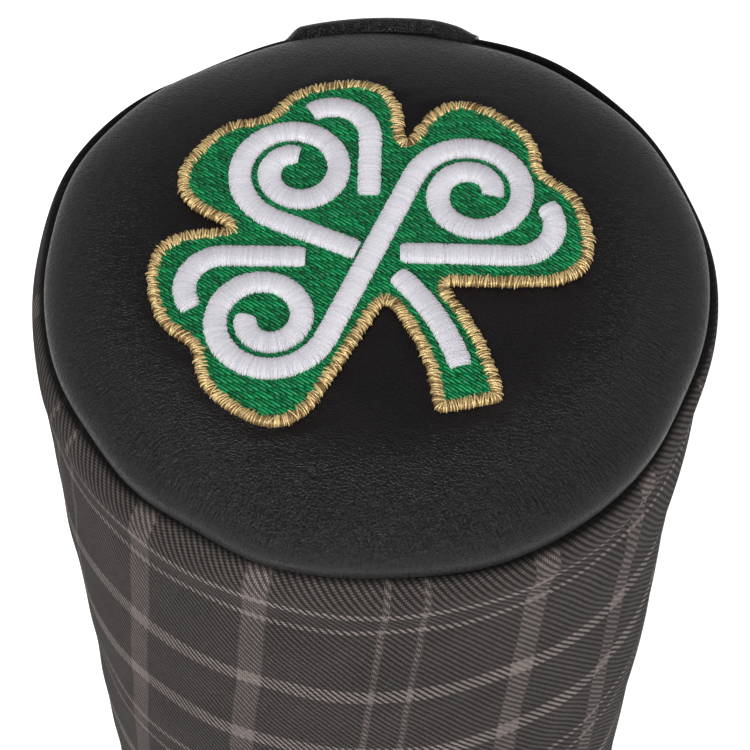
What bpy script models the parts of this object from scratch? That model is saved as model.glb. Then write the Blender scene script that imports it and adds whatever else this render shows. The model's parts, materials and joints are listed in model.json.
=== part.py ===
"""Barrel-style driver head cover: padded leather crown with a raised clover embroidery, plaid barrel,
rear leather panel, foam, fleece lining with an elastic neck, and a bound hem.

Metres, +Z up. The open end stands on z = 0, the axis is Z, and the rear panel faces +Y.
"""

import math

import bmesh
import bpy
import numpy as np
from mathutils import Matrix

# Driving dimensions
HEIGHT = 0.280  # to the top of the embroidery
SHOULDER_RADIUS = 0.064
TAPER = 0.03  # fall in radius for each metre down the barrel
GAP = 0.0003  # between pieces that touch

CROWN_RISE = 0.0075  # crown's middle above the seam plane
CROWN_RADIUS = 0.0619
CROWN_ROLL = 0.0075  # radius of the crown's turned-down edge
CROWN_SAG = 0.0025  # fall of the dome from its middle to the roll
LEATHER = 0.0012

GROOVE_RADIUS = 0.0606
SHOULDER_DROP = 0.011  # seam plane down to the barrel's widest ring
SHOULDER_TOP = 0.0052  # seam plane down to the top of the rolled shoulder
SHOULDER_END = 0.022  # seam plane down to where the even taper starts
SHOULDER_EASE = 0.0015
CLOTH = 0.0010
FOAM = 0.0030
FLEECE = 0.0020
STABILISER = 0.0004
PANEL_PROUD = 0.0005
PANEL_HALF_ANGLE = math.radians(18.6)

NECK_Z = 0.085
NECK_RADIUS = 0.044
NECK_SPREAD = 0.026
ELASTIC = (0.0010, 0.025)  # thickness, height
CASING = (0.0008, 0.032)

HEM_HEIGHT = 0.012
HEM_THICKNESS = 0.0012
SHELL_BOTTOM = HEM_THICKNESS + GAP
THREAD_RADIUS = 0.0003
LABEL = (0.020, 0.0008, 0.030)

MIDDLE = (0.0, -0.001)  # of the embroidery, on the crown
TILT = math.radians(30)  # direction of the first leaf
LEAF_LENGTH = 0.0410
LEAF_HALF_ANGLE = math.radians(45)
LEAF_TURN = math.radians(1.5)  # of the leaves' edges against the cords inside them
BORDER_WIDTH = 0.0022
CORD_WIDTH = 0.0037
FILL_LAYER = (GAP, 0.0009)  # heights above the leather, bottom and top
BORDER_LAYER = (GAP, 0.0015)
CORD_LAYER = (0.0012, 0.0024)

STEPS = 36  # facets round the axis
SEAM_Z = HEIGHT - CORD_LAYER[1] - CROWN_RISE
DOME_RINGS = (0.0, 0.016, 0.032, 0.048)


# Scene


def clear_scene():
    for obj in list(bpy.data.objects):
        bpy.data.objects.remove(obj, do_unlink=True)


def new_collection(name):
    collection = bpy.data.collections.new(name)
    bpy.context.scene.collection.children.link(collection)
    return collection


def new_material(name, color, roughness, metallic=0.0):
    material = bpy.data.materials.new(name)
    material.use_nodes = True
    shader = material.node_tree.nodes["Principled BSDF"]
    shader.inputs["Base Color"].default_value = (*color, 1)
    shader.inputs["Roughness"].default_value = roughness
    shader.inputs["Metallic"].default_value = metallic
    material.diffuse_color = (*color, 1)
    return material


def add_object(name, data, collection, look=None):
    obj = bpy.data.objects.new(name, data)
    collection.objects.link(obj)
    if look:
        data.materials.append(new_material(name, *look))
    return obj


# Turned shapes


def turned(name, profile, collection, look=None, closed=False, angle=2 * math.pi, steps=STEPS):
    """A profile of (radius, z) points, from the top down its outer side, turned about Z."""
    mesh = bpy.data.meshes.new(name)
    count = len(profile)
    edges = [(i, i + 1) for i in range(count - 1)] + ([(count - 1, 0)] if closed else [])
    mesh.from_pydata([(r, 0, z) for r, z in profile], edges, [])
    obj = add_object(name, mesh, collection, look)
    screw = obj.modifiers.new("Turn", "SCREW")
    screw.angle = angle
    screw.steps = screw.render_steps = steps
    screw.use_merge_vertices = angle == 2 * math.pi
    screw.merge_threshold = 0.00001
    return obj


def thicken(obj, thickness):
    """Thickens an open surface inwards."""
    solid = obj.modifiers.new("Thickness", "SOLIDIFY")
    solid.thickness = thickness
    solid.offset = -1
    return obj


def dome_height(radius):
    """Height of the leather's outer face above the seam plane, inside the roll."""
    roll_start = CROWN_RADIUS - CROWN_ROLL
    return CROWN_RISE - CROWN_SAG * (radius / roll_start) ** 2


def crown_profile(inwards, tuck=math.radians(20)):
    """The crown's outer face, moved inwards, from its middle to its tucked-under edge."""
    points = [(r, SEAM_Z + dome_height(r) - inwards) for r in DOME_RINGS]
    centre_r = CROWN_RADIUS - CROWN_ROLL
    centre_z = SEAM_Z + CROWN_RISE - CROWN_SAG - CROWN_ROLL
    turns = 6
    for i in range(turns + 1):
        angle = math.radians(85) - (math.radians(85) + tuck) * i / turns
        reach = CROWN_ROLL - inwards
        points.append((centre_r + reach * math.cos(angle), centre_z + reach * math.sin(angle)))
    return points


def barrel_radius(z):
    """Outer radius of the plaid at this height."""
    down = SEAM_Z - z
    if down < SHOULDER_DROP:
        part = (SHOULDER_DROP - down) / (SHOULDER_DROP - SHOULDER_TOP)
        widen = SHOULDER_RADIUS - GROOVE_RADIUS
        return GROOVE_RADIUS + widen * math.sqrt(max(0.0, 1 - part**2))
    if down < SHOULDER_END:
        part = (down - SHOULDER_DROP) / (SHOULDER_END - SHOULDER_DROP)
        return SHOULDER_RADIUS - SHOULDER_EASE * (1 - math.cos(math.pi * part)) / 2
    return SHOULDER_RADIUS - SHOULDER_EASE - TAPER * (down - SHOULDER_END)


def barrel_levels(top):
    """Heights from the top of a barrel layer to the hem, close together at the shoulder."""
    roll = SHOULDER_DROP - SHOULDER_TOP
    angles = [math.radians(a) for a in (0, 30, 60, 90)]
    shoulder = [SEAM_Z - SHOULDER_DROP + roll * math.cos(a) for a in angles]
    ease = [SEAM_Z - SHOULDER_DROP - d for d in (0.0055, 0.011)]
    body = [0.13, SHELL_BOTTOM]
    return [top] + [z for z in shoulder + ease + body if z < top - 0.0004]


def barrel_profile(inwards, top):
    return [(barrel_radius(z) - inwards, z) for z in barrel_levels(top)]


def lining_radius(z):
    """Inner radius of the fleece, drawn in at the neck."""
    layers = CLOTH + FOAM + FLEECE + 4 * GAP
    gather = barrel_radius(NECK_Z) - layers - NECK_RADIUS
    return barrel_radius(z) - layers - gather * math.exp(-(((z - NECK_Z) / NECK_SPREAD) ** 4))


# The clover, in the plane, about its own middle


def leaf_radius(angle):
    """Radius of a leaf's edge at an angle from its own direction: two lobes with a dip between them."""
    dip = 1 - 0.09 * math.exp(-((math.degrees(angle) / 7) ** 2))
    side = 1 - 0.36 * (abs(angle) / LEAF_HALF_ANGLE) ** 8
    return LEAF_LENGTH * dip * side


def polar(radius, angle):
    return np.array((radius * math.cos(angle), radius * math.sin(angle)))


def stem_point(along, side=0.0):
    """A point on the stem's curved middle line, or to one side of it."""
    length = 0.038
    first, turn = math.radians(-37), math.radians(-48)
    count = 20
    at = np.zeros(2)
    for i in range(count):
        at = at + polar(along / count, first + turn * (along * (i + 0.5) / count) / length)
    heading = first + turn * along / length
    return at + polar(side, heading + math.pi / 2)


def clover_outline(leaf_points=24):
    """The outer edge, anticlockwise from the first leaf's lower side."""
    points = []
    for leaf in range(3):
        direction = TILT + LEAF_TURN + leaf * math.pi / 2
        for i in range(leaf_points + 1):
            angle = LEAF_HALF_ANGLE * (2 * i / leaf_points - 1)
            points.append(polar(leaf_radius(angle), direction + angle))
    half = lambda s: 0.0048 + 0.0016 * s / 0.038
    right = [stem_point(s, half(s)) for s in (0.013, 0.019, 0.025, 0.031, 0.0365)]
    left = [stem_point(s, -half(s)) for s in (0.009, 0.014, 0.020, 0.026, 0.032, 0.038)]
    return np.array(points + left + right[::-1])


def cyclic_steps(points):
    return np.roll(points, -1, axis=0) - points


def resampled(points, spacing):
    """Evenly spaced points on a closed outline."""
    lengths = np.linalg.norm(cyclic_steps(points), axis=1)
    along = np.concatenate([[0], np.cumsum(lengths)])
    closed = np.vstack([points, points[:1]])
    at = np.linspace(0, along[-1], max(8, round(along[-1] / spacing)), endpoint=False)
    return np.column_stack([np.interp(at, along, closed[:, k]) for k in range(2)])


def eased(points, rounds):
    """A closed outline with its corners rounded."""
    for _ in range(rounds):
        points = 0.5 * points + 0.25 * (np.roll(points, 1, axis=0) + np.roll(points, -1, axis=0))
    return points


def inset(points, distance):
    """An anticlockwise outline moved inwards, without the loops that a plain offset makes at corners."""
    tangent = np.roll(points, -1, axis=0) - np.roll(points, 1, axis=0)
    tangent = tangent / np.linalg.norm(tangent, axis=1)[:, None]
    moved = points + distance * np.column_stack([-tangent[:, 1], tangent[:, 0]])
    step = cyclic_steps(points)
    kept = []
    for point in moved:
        part = ((point - points) * step).sum(axis=1) / (step**2).sum(axis=1)
        nearest = points + np.clip(part, 0, 1)[:, None] * step
        if np.linalg.norm(point - nearest, axis=1).min() > 0.97 * distance:
            kept.append(point)
    return np.array(kept)


def scroll_path(start, turns=1.45):
    """In a leaf's own frame: straight out from the middle, then round a spiral."""
    centre = np.array((0.0230, 0.0026))
    outer, inner = 0.0115, 0.0036
    reach = np.linalg.norm(centre)
    tangent = math.atan2(centre[1], centre[0]) + math.asin(outer / reach)
    touch = math.sqrt(reach**2 - outer**2)
    points = [polar(start + (touch - start) * i / 6, tangent) for i in range(6)]
    first = tangent + math.pi / 2
    count = 26
    for i in range(count + 1):
        angle = first - 2 * math.pi * turns * i / count
        points.append(centre + polar(outer + (inner - outer) * i / count, angle))
    return np.array(points)


def hook_path(start):
    """In a leaf's own frame: straight out beside the scroll, then round a hook at the tip."""
    heading = math.radians(-31)
    first = np.array((0.005, -0.0022))
    straight, bend = 0.021, 0.0070
    points = [first + polar(start + (straight - start) * i / 5, heading) for i in range(5)]
    corner = first + polar(straight, heading)
    centre = corner + polar(bend, heading + math.pi / 2)
    count = 12
    for i in range(count + 1):
        angle = heading - math.pi / 2 + math.radians(128) * i / count
        points.append(centre + polar(bend, angle))
    return np.array(points)


def turned_by(points, angle):
    cos, sin = math.cos(angle), math.sin(angle)
    return points @ np.array(((cos, sin), (-sin, cos)))


def stroke_outline(path, width):
    """The closed outline of a band of this width along an open path."""
    tangent = np.gradient(path, axis=0)
    tangent = tangent / np.linalg.norm(tangent, axis=1)[:, None]
    side = width / 2 * np.column_stack([-tangent[:, 1], tangent[:, 0]])
    return np.vstack([path + side, (path - side)[::-1]])


# Raised embroidery


def prism(name, outlines, collection, look):
    """A tall block with these outlines, the first outside and any others holes in it."""
    curve = bpy.data.curves.new(name, "CURVE")
    curve.dimensions = "2D"
    curve.fill_mode = "BOTH"
    curve.extrude = 0.02
    for outline in outlines:
        spline = curve.splines.new("POLY")
        spline.points.add(len(outline) - 1)
        for point, (x, y) in zip(spline.points, outline):
            point.co = (x + MIDDLE[0], y + MIDDLE[1], 0, 1)
        spline.use_cyclic_u = True
    drawn = bpy.data.objects.new(name + "_curve", curve)
    collection.objects.link(drawn)
    graph = bpy.context.evaluated_depsgraph_get()
    mesh = bpy.data.meshes.new_from_object(drawn.evaluated_get(graph))
    bpy.data.objects.remove(drawn, do_unlink=True)
    block = bmesh.new()
    block.from_mesh(mesh)
    bmesh.ops.remove_doubles(block, verts=block.verts, dist=0.000001)
    bmesh.ops.recalc_face_normals(block, faces=block.faces)
    bmesh.ops.translate(block, verts=block.verts, vec=(0, 0, SEAM_Z))
    block.to_mesh(mesh)
    block.free()
    mesh.materials.clear()
    return add_object(name, mesh, collection, look)


def dome_slab(name, layer, cutters):
    """The space between two heights above the leather's dome."""
    low, high = layer
    top = [(r, SEAM_Z + dome_height(r) + high) for r in DOME_RINGS]
    bottom = [(r, SEAM_Z + dome_height(r) + low) for r in DOME_RINGS]
    slab = turned(name, top + bottom[::-1], cutters)
    slab.hide_render = True
    slab.display_type = "WIRE"
    return slab


def relief(name, outlines, slab, collection, look):
    """The part of a block that lies in a layer on the dome."""
    obj = prism(name, outlines, collection, look)
    cut = obj.modifiers.new("Layer", "BOOLEAN")
    cut.operation = "INTERSECT"
    cut.object = slab
    return obj


def embroidery(parts, cutters):
    green = ((0.01, 0.20, 0.07), 0.55)
    gold = ((0.62, 0.46, 0.20), 0.35, 0.6)
    white = ((0.75, 0.74, 0.78), 0.5)
    fill_slab = dome_slab("fill_layer", FILL_LAYER, cutters)
    border_slab = dome_slab("border_layer", BORDER_LAYER, cutters)
    cord_slab = dome_slab("cord_layer", CORD_LAYER, cutters)

    outline = eased(resampled(clover_outline(), 0.001), 2)
    border_inner = inset(outline, BORDER_WIDTH)
    fill_outer = inset(outline, BORDER_WIDTH + 3 * GAP)
    coarse = lambda points: resampled(points, 0.0022)
    relief("shamrock_fill", [coarse(fill_outer)], fill_slab, parts, green)
    relief("shamrock_border", [coarse(outline), coarse(border_inner)], border_slab, parts, gold)

    one_end = turned_by(scroll_path(0.0), TILT)
    other_end = turned_by(scroll_path(0.0), TILT + math.pi)
    paths = {
        "long_scroll_cord": np.vstack([other_end[:0:-1], one_end]),
        "upper_scroll_cord": turned_by(scroll_path(0.0027), TILT + math.pi / 2),
        "hook_cord_right": turned_by(hook_path(0.0), TILT),
        "hook_cord_upper": turned_by(hook_path(0.008), TILT + math.pi / 2),
        "hook_cord_lower": turned_by(hook_path(0.0065), TILT + math.pi),
        "stem_cord": np.array([stem_point(0.0065 + 0.0225 * i / 8) for i in range(9)]),
    }
    for name, path in paths.items():
        relief(name, [stroke_outline(path, CORD_WIDTH)], cord_slab, parts, white)


# Crown


def crown(parts):
    black = ((0.018, 0.018, 0.020), 0.42)
    thicken(turned("crown_leather", crown_profile(0), parts, black), LEATHER)

    top = LEATHER + GAP
    sheet_rings = DOME_RINGS
    sheet_top = [(r, SEAM_Z + dome_height(r) - top) for r in sheet_rings]
    sheet_bottom = [(r, z - STABILISER) for r, z in sheet_top]
    turned("embroidery_stabiliser", sheet_top + sheet_bottom[::-1], parts, ((0.7, 0.7, 0.7), 0.9))

    pad = crown_profile(top + STABILISER + GAP)
    floor_z = pad[-1][1]
    turned("crown_foam", pad + [(0, floor_z)], parts, ((0.25, 0.25, 0.25), 0.9))

    disc_top = floor_z - GAP
    disc_radius = lining_radius(disc_top - 0.01)
    disc = [(0, disc_top), (disc_radius, disc_top)]
    disc += [(disc_radius, disc_top - FLEECE), (0, disc_top - FLEECE)]
    turned("crown_backing", disc, parts, ((0.05, 0.05, 0.05), 0.95))
    lining_top = disc_top - FLEECE - GAP

    tape_outer = lining_radius(SEAM_Z - SHOULDER_END) - GAP
    tape = [(tape_outer, lining_top), (tape_outer, lining_top - 0.010)]
    tape += [(tape_outer - 0.0008, lining_top - 0.010), (tape_outer - 0.0008, lining_top)]
    turned("crown_seam_tape", tape, parts, ((0.04, 0.04, 0.04), 0.8), closed=True)
    return lining_top


# Barrel


def barrel_panel(name, inwards, thickness, half_angle, middle, steps, parts, look):
    """Part of the barrel's skin, centred on a direction about Z."""
    top = SEAM_Z - SHOULDER_TOP
    profile = barrel_profile(inwards, top)
    panel = turned(name, profile, parts, look, angle=2 * half_angle, steps=steps)
    panel.rotation_euler.z = middle - half_angle
    return thicken(panel, thickness)


def lining_profile(top):
    """Fleece, from its top down its outer face and back up its inner face."""
    half_waist = (1.4, 1.0, 0.75, 0.5)
    waist = [NECK_Z + NECK_SPREAD * part for part in half_waist + (0,)]
    waist += [NECK_Z - NECK_SPREAD * part for part in half_waist[::-1]]
    levels = [top, SEAM_Z - SHOULDER_END] + waist + [SHELL_BOTTOM]
    inner = [(lining_radius(z), z) for z in levels]
    outer = [(r + FLEECE, z) for r, z in inner]
    return outer + inner[::-1]


def ring_profile(inner, thickness, height, middle_z):
    top, bottom = middle_z + height / 2, middle_z - height / 2
    outer = inner + thickness
    return [(outer, top), (outer, bottom), (inner, bottom), (inner, top)]


def barrel(parts, lining_top):
    plaid = ((0.06, 0.055, 0.055), 0.85)
    black = ((0.018, 0.018, 0.020), 0.42)
    fleece = ((0.05, 0.05, 0.05), 0.95)
    edge = GAP / SHOULDER_RADIUS
    barrel_panel(
        "barrel_plaid", 0, CLOTH, math.pi - PANEL_HALF_ANGLE - edge, -math.pi / 2, 32, parts, plaid
    )
    barrel_panel(
        "rear_panel", -PANEL_PROUD, CLOTH + PANEL_PROUD, PANEL_HALF_ANGLE, math.pi / 2, 4, parts, black
    )
    foam_top = SEAM_Z - SHOULDER_TOP - 0.0023
    foam = turned(
        "barrel_foam", barrel_profile(CLOTH + 2 * GAP, foam_top), parts, ((0.25, 0.25, 0.25), 0.9)
    )
    thicken(foam, FOAM)
    turned("barrel_lining", lining_profile(lining_top), parts, fleece, closed=True)

    elastic_inner = NECK_RADIUS + FLEECE + 0.0012
    band = ring_profile(elastic_inner, *ELASTIC, NECK_Z)
    turned("neck_elastic", band, parts, ((0.02, 0.02, 0.02), 0.7), closed=True)
    casing = ring_profile(elastic_inner + ELASTIC[0] + GAP, *CASING, NECK_Z)
    turned("elastic_casing", casing, parts, ((0.03, 0.03, 0.03), 0.85), closed=True)


def hem(parts):
    black = ((0.018, 0.018, 0.020), 0.42)
    top = HEM_HEIGHT
    outside = PANEL_PROUD + GAP
    inner_leg = lining_radius(HEM_HEIGHT) - GAP
    inner_edge = lining_radius(0) - GAP - HEM_THICKNESS
    lip = barrel_radius(top) + outside
    foot = barrel_radius(0) + outside
    profile = [
        (lip + HEM_THICKNESS, top),
        (foot + HEM_THICKNESS, 0),
        (inner_edge, 0),
        (inner_leg - HEM_THICKNESS, top),
        (inner_leg, top),
        (lining_radius(0) - GAP, HEM_THICKNESS),
        (foot, HEM_THICKNESS),
        (lip, top),
    ]
    turned("hem_binding", profile, parts, black, closed=True)


def thread(name, points, parts, cyclic=False):
    curve = bpy.data.curves.new(name, "CURVE")
    curve.dimensions = "3D"
    curve.bevel_depth = THREAD_RADIUS
    curve.bevel_resolution = 1
    curve.use_fill_caps = not cyclic
    spline = curve.splines.new("POLY")
    spline.points.add(len(points) - 1)
    for point, place in zip(spline.points, points):
        point.co = (*place, 1)
    spline.use_cyclic_u = cyclic
    return add_object(name, curve, parts, ((0.02, 0.02, 0.02), 0.6))


def threads(parts):
    lift = THREAD_RADIUS + GAP
    angle = PANEL_HALF_ANGLE - 0.0015 / SHOULDER_RADIUS
    levels = [z for z in barrel_levels(SEAM_Z - SHOULDER_TOP - 0.003) if z > HEM_HEIGHT]
    levels.append(HEM_HEIGHT + 0.002)
    for name, side in (("rear_stitch_left", 1), ("rear_stitch_right", -1)):
        points = []
        for z in levels:
            radius = barrel_radius(z) + PANEL_PROUD + lift
            turn = math.pi / 2 + side * angle
            points.append((radius * math.cos(turn), radius * math.sin(turn), z))
        thread(name, points, parts)
    z = HEM_HEIGHT - 0.002
    radius = barrel_radius(z) + PANEL_PROUD + GAP + HEM_THICKNESS + lift
    turns = [2 * math.pi * i / STEPS for i in range(STEPS)]
    ring = [(radius * math.cos(a), radius * math.sin(a), z) for a in turns]
    thread("hem_stitch", ring, parts, cyclic=True)


def care_label(parts):
    width, thickness, height = LABEL
    bottom = 0.004
    mesh = bpy.data.meshes.new("care_label")
    box = bmesh.new()
    bmesh.ops.create_cube(box, size=1, matrix=Matrix.Diagonal((width, thickness, height, 1)))
    box.to_mesh(mesh)
    box.free()
    label = add_object("care_label", mesh, parts, ((0.6, 0.6, 0.6), 0.8))
    label.location = (0, 0.0440, bottom + height / 2)


def smooth(parts):
    for obj in parts.objects:
        if obj.type == "MESH":
            obj.data.shade_smooth()
            obj.data.set_sharp_from_angle(angle=math.radians(40))


def main():
    clear_scene()
    parts = new_collection("driver_head_cover")
    cutters = new_collection("cutters")
    lining_top = crown(parts)
    embroidery(parts, cutters)
    barrel(parts, lining_top)
    hem(parts)
    threads(parts)
    care_label(parts)
    smooth(parts)


main()
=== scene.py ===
"""Looks of the barrel-style driver head cover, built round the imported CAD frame.

Metres, +Z up. The open end stands on z = 0, the axis is Z, and the rear leather panel faces +Y.
Most pieces are finer ones that stand for their CAD solids. The crown's backing, its tape, the
neck elastic and the elastic's casing stay as the CAD made them, with cloth materials.
"""

import json
import math
from math import pi, radians

import bpy
import numpy as np
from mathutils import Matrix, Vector

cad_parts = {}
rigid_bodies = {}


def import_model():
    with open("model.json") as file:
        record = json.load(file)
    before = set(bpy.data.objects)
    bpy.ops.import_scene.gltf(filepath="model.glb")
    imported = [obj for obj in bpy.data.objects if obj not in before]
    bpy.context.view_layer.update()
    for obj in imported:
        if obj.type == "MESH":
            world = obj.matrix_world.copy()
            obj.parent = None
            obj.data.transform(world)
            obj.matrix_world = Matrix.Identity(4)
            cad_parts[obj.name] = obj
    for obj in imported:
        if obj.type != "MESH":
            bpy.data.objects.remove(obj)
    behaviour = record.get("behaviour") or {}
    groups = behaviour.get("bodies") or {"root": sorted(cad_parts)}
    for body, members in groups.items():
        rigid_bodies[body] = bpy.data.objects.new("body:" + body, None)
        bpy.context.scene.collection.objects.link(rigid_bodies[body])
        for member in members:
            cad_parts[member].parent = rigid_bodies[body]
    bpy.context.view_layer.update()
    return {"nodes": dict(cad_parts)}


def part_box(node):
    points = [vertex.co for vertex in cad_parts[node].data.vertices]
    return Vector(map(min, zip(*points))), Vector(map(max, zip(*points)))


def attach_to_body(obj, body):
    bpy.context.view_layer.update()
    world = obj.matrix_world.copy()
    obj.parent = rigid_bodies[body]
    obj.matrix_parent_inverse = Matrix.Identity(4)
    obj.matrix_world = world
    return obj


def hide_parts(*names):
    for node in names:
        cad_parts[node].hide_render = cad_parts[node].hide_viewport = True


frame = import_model()

# Sizes repeated from the CAD source
CROWN_RISE = 0.0075
CROWN_RADIUS = 0.0619
CROWN_ROLL = 0.0075
CROWN_SAG = 0.0025
CROWN_WIDEST = CROWN_RISE - CROWN_SAG - CROWN_ROLL
LEATHER = 0.0012
GROOVE_RADIUS = 0.0606
SHOULDER_RADIUS = 0.064
SHOULDER_DROP = 0.011
SHOULDER_TOP = 0.0052
SHOULDER_END = 0.022
SHOULDER_EASE = 0.0015
TAPER = 0.03
GAP = 0.0003
CLOTH, FOAM, FLEECE = 0.0010, 0.0030, 0.0020
PANEL_PROUD = 0.0005
PANEL_HALF_ANGLE = radians(18.6)
NECK_Z, NECK_RADIUS, NECK_SPREAD = 0.085, 0.044, 0.026
HEM_HEIGHT, HEM_THICKNESS = 0.012, 0.0012
MIDDLE = np.array((0.0, -0.001))
TILT = radians(30)
LEAF_LENGTH = 0.0410
LEAF_HALF_ANGLE = radians(45)
LEAF_TURN = radians(1.5)
BORDER_WIDTH = 0.0022
SEAM_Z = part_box("crown_leather")[1].z - CROWN_RISE
FRONT, BACK = -pi / 2, pi / 2
UP = np.array((0.0, 0.0, 1.0))

# Sizes of the visual model only, set against the photo
DOME_POWER = 4.2  # roundness of the crown: a higher power is flatter in the middle
CORD_WIDTH = 0.0041  # the CAD's cords are 0.0037
BACK_DROP = 0.0022  # how far the top's back edge sinks
PANEL_TRIM = radians(1.8)  # cut off the rear panel's left edge
PANEL_RIGHT = BACK - PANEL_HALF_ANGLE
PANEL_LEFT = BACK + PANEL_HALF_ANGLE - PANEL_TRIM
PANEL_LIFT = 0.0011  # of the panel's top edge, outwards and up
STITCH_INSET = 0.0015
STABILISER_RADIUS = 0.048
SKIN_MEAN, PANEL_MEAN, LINING_MEAN = 0.0625, 0.0635, 0.0565  # mean radii, for flat widths


# Meshes from arrays


def new_object(name, data):
    obj = bpy.data.objects.new(name, data)
    bpy.context.scene.collection.objects.link(obj)
    return obj


def mesh_object(name, points, faces, look, loop_uv=None, tone=None):
    """A smooth mesh, with a map in metres for each corner and a tone from 0 to 1 for each point."""
    points = np.asarray(points, np.float32).reshape(-1, 3)
    faces = np.asarray(faces, np.int32)
    count, corners = faces.shape
    mesh = bpy.data.meshes.new(name)
    mesh.vertices.add(len(points))
    mesh.vertices.foreach_set("co", points.ravel())
    mesh.loops.add(count * corners)
    mesh.loops.foreach_set("vertex_index", faces.ravel())
    mesh.polygons.add(count)
    mesh.polygons.foreach_set("loop_start", np.arange(count, dtype=np.int32) * corners)
    mesh.update(calc_edges=True)
    if loop_uv is not None:
        layer = mesh.uv_layers.new(name="Cloth")
        layer.data.foreach_set("uv", np.asarray(loop_uv, np.float32).ravel())
    if tone is not None:
        store = mesh.attributes.new("tone", "FLOAT", "POINT")
        store.data.foreach_set("value", np.asarray(tone, np.float32).ravel())
    mesh.shade_smooth()
    mesh.materials.append(look)
    return new_object(name, mesh)


def grid_faces(columns, rows, wrap):
    index = np.arange(columns * rows).reshape(columns, rows)
    left = index if wrap else index[:-1]
    right = np.roll(index, -1, axis=0) if wrap else index[1:]
    return np.stack([left[:, :-1], left[:, 1:], right[:, 1:], right[:, :-1]], -1).reshape(-1, 4)


def grid_object(name, points, look, uv=None, wrap=False, flip=False):
    """A surface over points[column, row], with a uv place in metres for each, or none."""
    columns, rows = points.shape[:2]
    faces = grid_faces(columns, rows, wrap)
    if uv is not None:
        uv = np.stack([uv[:-1, :-1], uv[:-1, 1:], uv[1:, 1:], uv[1:, :-1]], 2)
    return mesh_object(name, points, faces[:, ::-1] if flip else faces, look, uv)


def attach(piece, node):
    """The piece rides on the one body, in the place of this CAD node."""
    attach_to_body(piece, "root")
    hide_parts(node)


def round_axis(radius, angle, height):
    """Points about the Z axis, for radius[angle, level] and the heights of the levels."""
    return np.stack([radius * np.cos(angle)[:, None], radius * np.sin(angle)[:, None],
                     np.broadcast_to(height, radius.shape)], -1)


def spoke(angle):
    """The direction straight out from the axis."""
    return np.stack([np.cos(angle), np.sin(angle), 0 * angle], -1)


def unit(vectors):
    return vectors / np.maximum(np.linalg.norm(vectors, axis=-1, keepdims=True), 1e-12)


def tube_arrays(paths, up, half_width, half_height, sides, taper=0.45):
    """Points and faces of one tube along each of paths[strand, point], narrowed at both ends."""
    strands, count = paths.shape[:2]
    tangent = unit(np.gradient(paths, axis=1))
    side = unit(np.cross(tangent, up))
    over = np.cross(side, tangent)
    shrink = np.ones(count)
    shrink[0] = shrink[-1] = taper
    turn = 2 * pi * np.arange(sides) / sides
    width = np.broadcast_to(np.asarray(half_width), (strands,))[:, None, None, None]
    height = np.broadcast_to(np.asarray(half_height), (strands,))[:, None, None, None]
    across = side[:, :, None] * np.cos(turn)[:, None] * width
    above = over[:, :, None] * np.sin(turn)[:, None] * height
    points = paths[:, :, None] + (across + above) * shrink[:, None, None]
    index = np.arange(strands * count * sides).reshape(strands, count, sides)
    turned = np.roll(index, -1, axis=2)
    faces = np.stack([index[:, :-1], turned[:, :-1], turned[:, 1:], index[:, 1:]], -1)
    return points.reshape(-1, 3), faces.reshape(-1, 4)


def joined(*parts):
    """Points and faces of several meshes as one, with a tone for each point of each."""
    points, faces, tones, base = [], [], [], 0
    for p, f, tone in parts:
        points.append(p)
        faces.append(f + base)
        tones.append(np.broadcast_to(tone, (len(p),)))
        base += len(p)
    return np.vstack(points), np.vstack(faces), np.concatenate(tones)


# Smooth variation


def waves(angle, seed, orders, fall=1.0):
    """A closed ripple about the axis, between about -1 and 1."""
    chance = np.random.default_rng(seed)
    total = np.zeros_like(angle, dtype=float)
    for order in orders:
        total += np.sin(order * angle + chance.uniform(0, 2 * pi)) / order**fall
    return total / sum(1 / order**fall for order in orders) * 1.6


def near(values, middle, spread):
    return np.exp(-(((values - middle) / spread) ** 2))


def angle_from(angle, middle):
    """The angle from a direction, between -pi and pi."""
    return (angle - middle + pi) % (2 * pi) - pi


def smooth_step(low, high, value):
    t = np.clip((value - low) / (high - low), 0, 1)
    return t * t * (3 - 2 * t)


# The CAD's profiles


def dome_height(radius):
    """The stuffed crown over the seam plane: flat in the middle, rounder to its widest ring."""
    part = np.clip(np.asarray(radius, float) / CROWN_RADIUS, 0, 1)
    return CROWN_WIDEST + (CROWN_RISE - CROWN_WIDEST) * np.sqrt(1 - part**DOME_POWER)


def barrel_radius(z):
    """Outer radius of the plaid at this height, for arrays."""
    down = SEAM_Z - np.asarray(z, float)
    part = np.clip((SHOULDER_DROP - down) / (SHOULDER_DROP - SHOULDER_TOP), 0, 1)
    roll = GROOVE_RADIUS + (SHOULDER_RADIUS - GROOVE_RADIUS) * np.sqrt(1 - part**2)
    ease = SHOULDER_EASE * smooth_step(SHOULDER_DROP, SHOULDER_END, down)
    straight = SHOULDER_RADIUS - ease - TAPER * np.maximum(down - SHOULDER_END, 0)
    return np.where(down < SHOULDER_DROP, roll, straight)


def lining_radius(z):
    layers = CLOTH + FOAM + FLEECE + 4 * GAP
    gather = barrel_radius(NECK_Z) - layers - NECK_RADIUS
    return barrel_radius(z) - layers - gather * np.exp(-(((z - NECK_Z) / NECK_SPREAD) ** 4))


def towards(angle, degrees, spread, power=2):
    """1 in one direction about the axis, falling to 0 on both sides of it."""
    off = np.abs(angle_from(angle, radians(degrees))) / radians(spread)
    return np.exp(-(off**power))


def seam_lift(angle):
    """How far the crown's seam rises or dips round the cover."""
    return 0.00032 * waves(angle, 5, (2, 3, 5, 7, 11))


# Where the seam swells or, below 0, is drawn in: (metres outwards, direction, spread in degrees)
SEAM_SWELLS = ((-0.0017, -156, 36), (-0.0010, -121, 14), (-0.0011, -84, 12), (-0.0007, -24, 18),
               (0.0009, -50, 10), (0.0004, -112, 9))


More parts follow.
